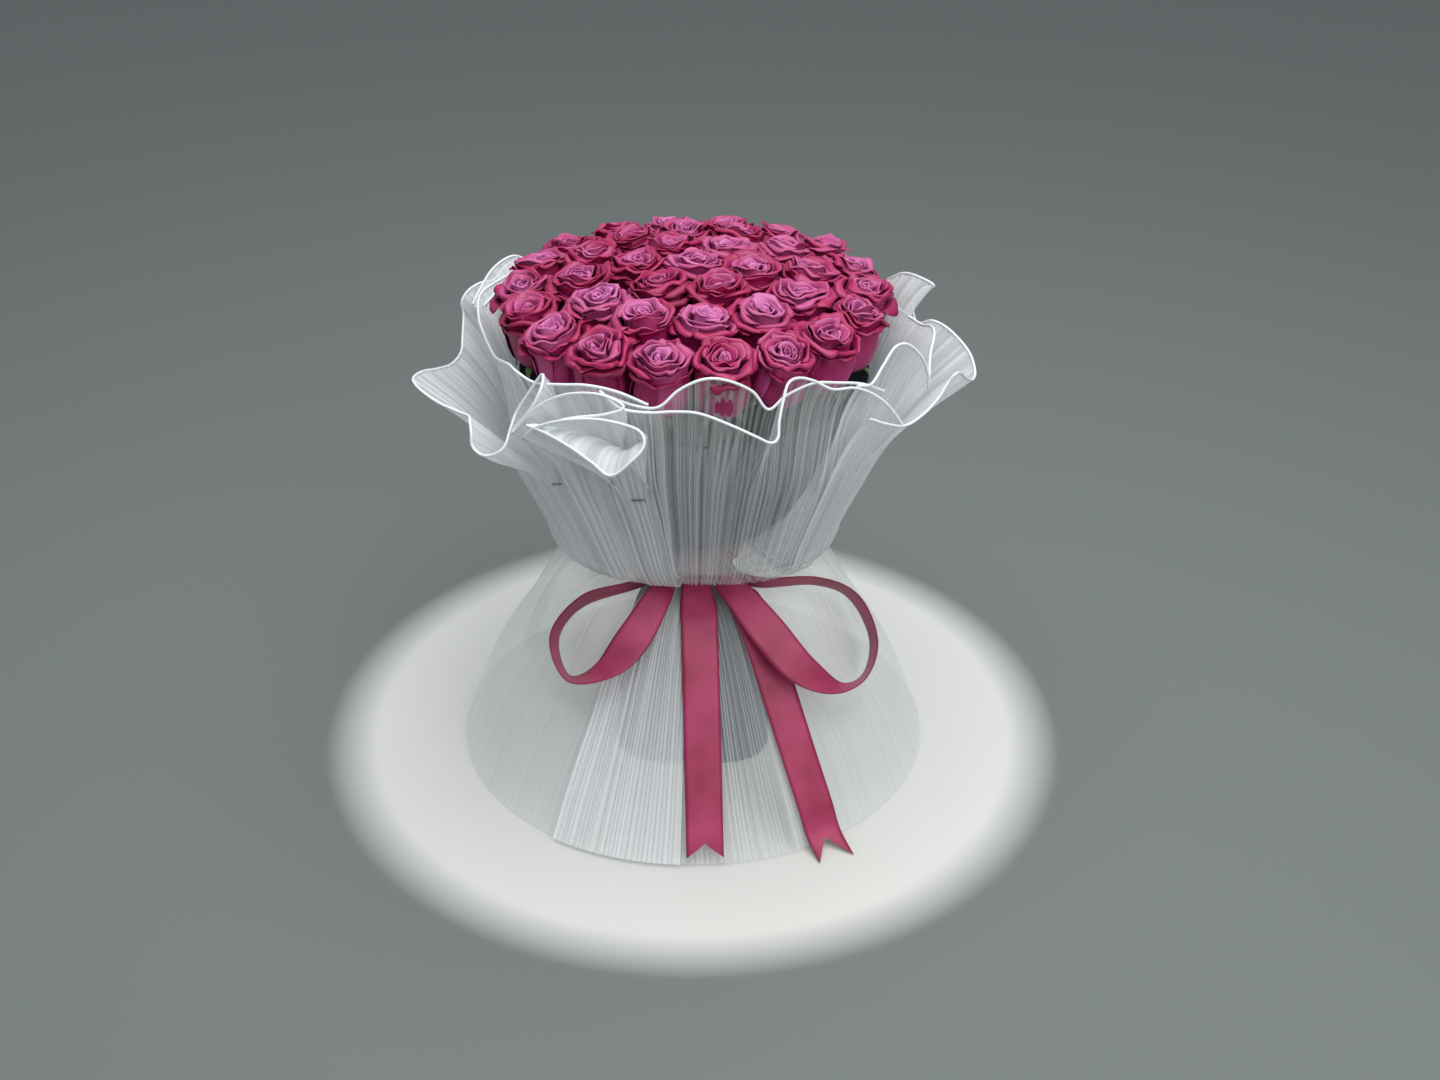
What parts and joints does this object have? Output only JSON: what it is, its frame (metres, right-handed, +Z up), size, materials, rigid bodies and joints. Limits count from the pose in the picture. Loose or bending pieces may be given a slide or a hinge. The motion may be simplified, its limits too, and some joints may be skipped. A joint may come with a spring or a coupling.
{
  "type": "bunch of roses",
  "caption": "Hand-tied dome of purple-pink roses in a flared pleated organza collar, standing on an organza skirt, with a satin bow at the waist.",
  "frame": {"origin": "on the surface it stands on, under the middle rose, on the axis of the tied stems", "axes": "+Z up along the stems, -Y towards the front with the bow, +X to the right seen from the front"},
  "size_m": [0.4323, 0.4074, 0.443],
  "materials": {
    "rose": "soft matt petals, magenta at the edges and mauve inside, on green stems",
    "tape": "waxed stem tape",
    "inner_paper": "matt slate-grey wrapping paper",
    "organza": "crisp sheer pleated organza with a wired hem",
    "ribbon": "fine-ribbed satin",
    "staple": "dull wire"
  },
  "bodies": {
    "root": {"rose_01": "rose", "rose_02": "rose", "rose_03": "rose", "rose_04": "rose", "rose_05": "rose", "rose_06": "rose", "rose_07": "rose", "rose_08": "rose", "rose_09": "rose", "rose_10": "rose", "rose_11": "rose", "rose_12": "rose", "rose_13": "rose", "rose_14": "rose", "rose_15": "rose", "rose_16": "rose", "rose_17": "rose", "rose_18": "rose", "rose_19": "rose", "rose_20": "rose", "rose_21": "rose", "rose_22": "rose", "rose_23": "rose", "rose_24": "rose", "rose_25": "rose", "rose_26": "rose", "rose_27": "rose", "rose_28": "rose", "rose_29": "rose", "rose_30": "rose", "rose_31": "rose", "rose_32": "rose", "rose_33": "rose", "rose_34": "rose", "rose_35": "rose", "rose_36": "rose", "rose_37": "rose", "binding_tape": "tape", "inner_paper": "inner_paper", "collar_left": "organza", "collar_front": "organza", "collar_right": "organza", "collar_back": "organza", "skirt_front_left": "organza", "skirt_front_right": "organza", "skirt_side_right": "organza", "skirt_side_left": "organza", "skirt_back": "organza", "staple_left": "staple", "staple_right": "staple", "waist_ribbon": "ribbon", "bow_knot": "ribbon", "bow_loop_left": "ribbon", "bow_loop_right": "ribbon", "bow_tail_left": "ribbon", "bow_tail_right": "ribbon"}
  },
  "joints": []
}
